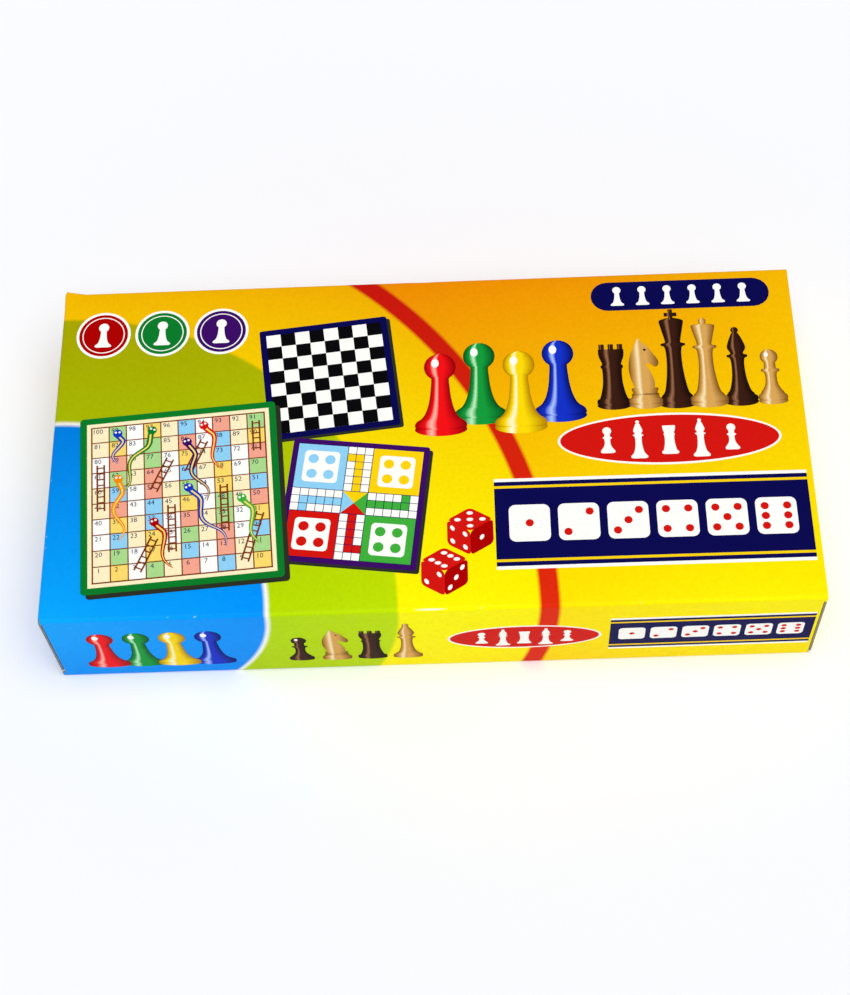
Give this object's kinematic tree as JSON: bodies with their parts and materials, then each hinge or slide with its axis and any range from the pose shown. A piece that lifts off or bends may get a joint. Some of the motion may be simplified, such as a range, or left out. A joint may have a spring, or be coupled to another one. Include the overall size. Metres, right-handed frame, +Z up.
{
  "type": "boxed board game set",
  "caption": "Printed folding carton with tuck-in ends, holding folding ludo, snakes-and-ladders and chess boards with tokens, dice and chessmen.",
  "frame": {"origin": "middle of the carton's base, on the surface it lies on", "axes": "+X along the carton to its right end, +Y from its front panel to its back, +Z up"},
  "size_m": [0.32, 0.161, 0.0552],
  "materials": {
    "printed_carton_board": "gloss",
    "printed_game_board": "satin",
    "binding_tape": "matte",
    "red_plastic": "gloss",
    "green_plastic": "gloss",
    "yellow_plastic": "gloss",
    "blue_plastic": "gloss",
    "dice_plastic": "gloss",
    "cream_plastic": "satin",
    "black_plastic": "satin"
  },
  "bodies": {
    "carton": {"carton_sleeve": "printed_carton_board", "ludo_snakes_board_lower_leaf": "printed_game_board", "ludo_snakes_board_upper_leaf": "printed_game_board", "ludo_snakes_board_hinge_tape": "binding_tape", "chess_board_lower_leaf": "printed_game_board", "chess_board_upper_leaf": "printed_game_board", "chess_board_hinge_tape": "binding_tape", "token_red_1": "red_plastic", "token_red_2": "red_plastic", "token_red_3": "red_plastic", "token_red_4": "red_plastic", "token_green_1": "green_plastic", "token_green_2": "green_plastic", "token_green_3": "green_plastic", "token_green_4": "green_plastic", "token_yellow_1": "yellow_plastic", "token_yellow_2": "yellow_plastic", "token_yellow_3": "yellow_plastic", "token_yellow_4": "yellow_plastic", "token_blue_1": "blue_plastic", "token_blue_2": "blue_plastic", "token_blue_3": "blue_plastic", "token_blue_4": "blue_plastic", "die_1": "dice_plastic", "die_2": "dice_plastic", "white_king": "cream_plastic", "white_queen": "cream_plastic", "white_bishop_1": "cream_plastic", "white_bishop_2": "cream_plastic", "white_knight_1": "cream_plastic", "white_knight_2": "cream_plastic", "white_rook_1": "cream_plastic", "white_rook_2": "cream_plastic", "white_pawn_pair_1": "cream_plastic", "white_pawn_pair_2": "cream_plastic", "white_pawn_pair_3": "cream_plastic", "white_pawn_pair_4": "cream_plastic", "black_king": "black_plastic", "black_queen": "black_plastic", "black_bishop_1": "black_plastic", "black_bishop_2": "black_plastic", "black_knight_1": "black_plastic", "black_knight_2": "black_plastic", "black_rook_1": "black_plastic", "black_rook_2": "black_plastic", "black_pawn_pair_1": "black_plastic", "black_pawn_pair_2": "black_plastic", "black_pawn_pair_3": "black_plastic", "black_pawn_pair_4": "black_plastic"},
    "left_closure_panel": {"left_closure_panel": "printed_carton_board"},
    "left_tuck_tongue": {"left_tuck_tongue": "printed_carton_board"},
    "left_front_dust_flap": {"left_front_dust_flap": "printed_carton_board"},
    "left_back_dust_flap": {"left_back_dust_flap": "printed_carton_board"},
    "right_closure_panel": {"right_closure_panel": "printed_carton_board"},
    "right_tuck_tongue": {"right_tuck_tongue": "printed_carton_board"},
    "right_front_dust_flap": {"right_front_dust_flap": "printed_carton_board"},
    "right_back_dust_flap": {"right_back_dust_flap": "printed_carton_board"}
  },
  "joints": [
    {"name": "left_closure_hinge", "type": "hinge", "parent": "carton", "child": "left_closure_panel", "pos_m": [-0.16, 0, 0.0552], "axis": [0, 1, 0], "range_deg": [0, 115]},
    {"name": "left_tongue_fold", "type": "hinge", "parent": "left_closure_panel", "child": "left_tuck_tongue", "pos_m": [-0.1591, 0, 0.0024], "axis": [0, -1, 0], "range_deg": [0, 34.5]},
    {"name": "left_front_flap_fold", "type": "hinge", "parent": "carton", "child": "left_front_dust_flap", "pos_m": [-0.1591, -0.0796, 0.0276], "axis": [0, 0, 1], "range_deg": [0, 51.75]},
    {"name": "left_back_flap_fold", "type": "hinge", "parent": "carton", "child": "left_back_dust_flap", "pos_m": [-0.1591, 0.0796, 0.0276], "axis": [0, 0, -1], "range_deg": [0, 51.75]},
    {"name": "right_closure_hinge", "type": "hinge", "parent": "carton", "child": "right_closure_panel", "pos_m": [0.16, 0, 0], "axis": [0, 1, 0], "range_deg": [0, 88]},
    {"name": "right_tongue_fold", "type": "hinge", "parent": "right_closure_panel", "child": "right_tuck_tongue", "pos_m": [0.1591, 0, 0.0528], "axis": [0, -1, 0], "range_deg": [0, 26.4]},
    {"name": "right_front_flap_fold", "type": "hinge", "parent": "carton", "child": "right_front_dust_flap", "pos_m": [0.1591, -0.0796, 0.0276], "axis": [0, 0, -1], "range_deg": [0, 39.6]},
    {"name": "right_back_flap_fold", "type": "hinge", "parent": "carton", "child": "right_back_dust_flap", "pos_m": [0.1591, 0.0796, 0.0276], "axis": [0, 0, 1], "range_deg": [0, 39.6]}
  ],
  "couplings": [
    {"joint": "left_tongue_fold", "follows": "left_closure_hinge", "ratio": 0.3},
    {"joint": "left_front_flap_fold", "follows": "left_closure_hinge", "ratio": 0.45},
    {"joint": "left_back_flap_fold", "follows": "left_closure_hinge", "ratio": 0.45},
    {"joint": "right_tongue_fold", "follows": "right_closure_hinge", "ratio": 0.3},
    {"joint": "right_front_flap_fold", "follows": "right_closure_hinge", "ratio": 0.45},
    {"joint": "right_back_flap_fold", "follows": "right_closure_hinge", "ratio": 0.45}
  ]
}
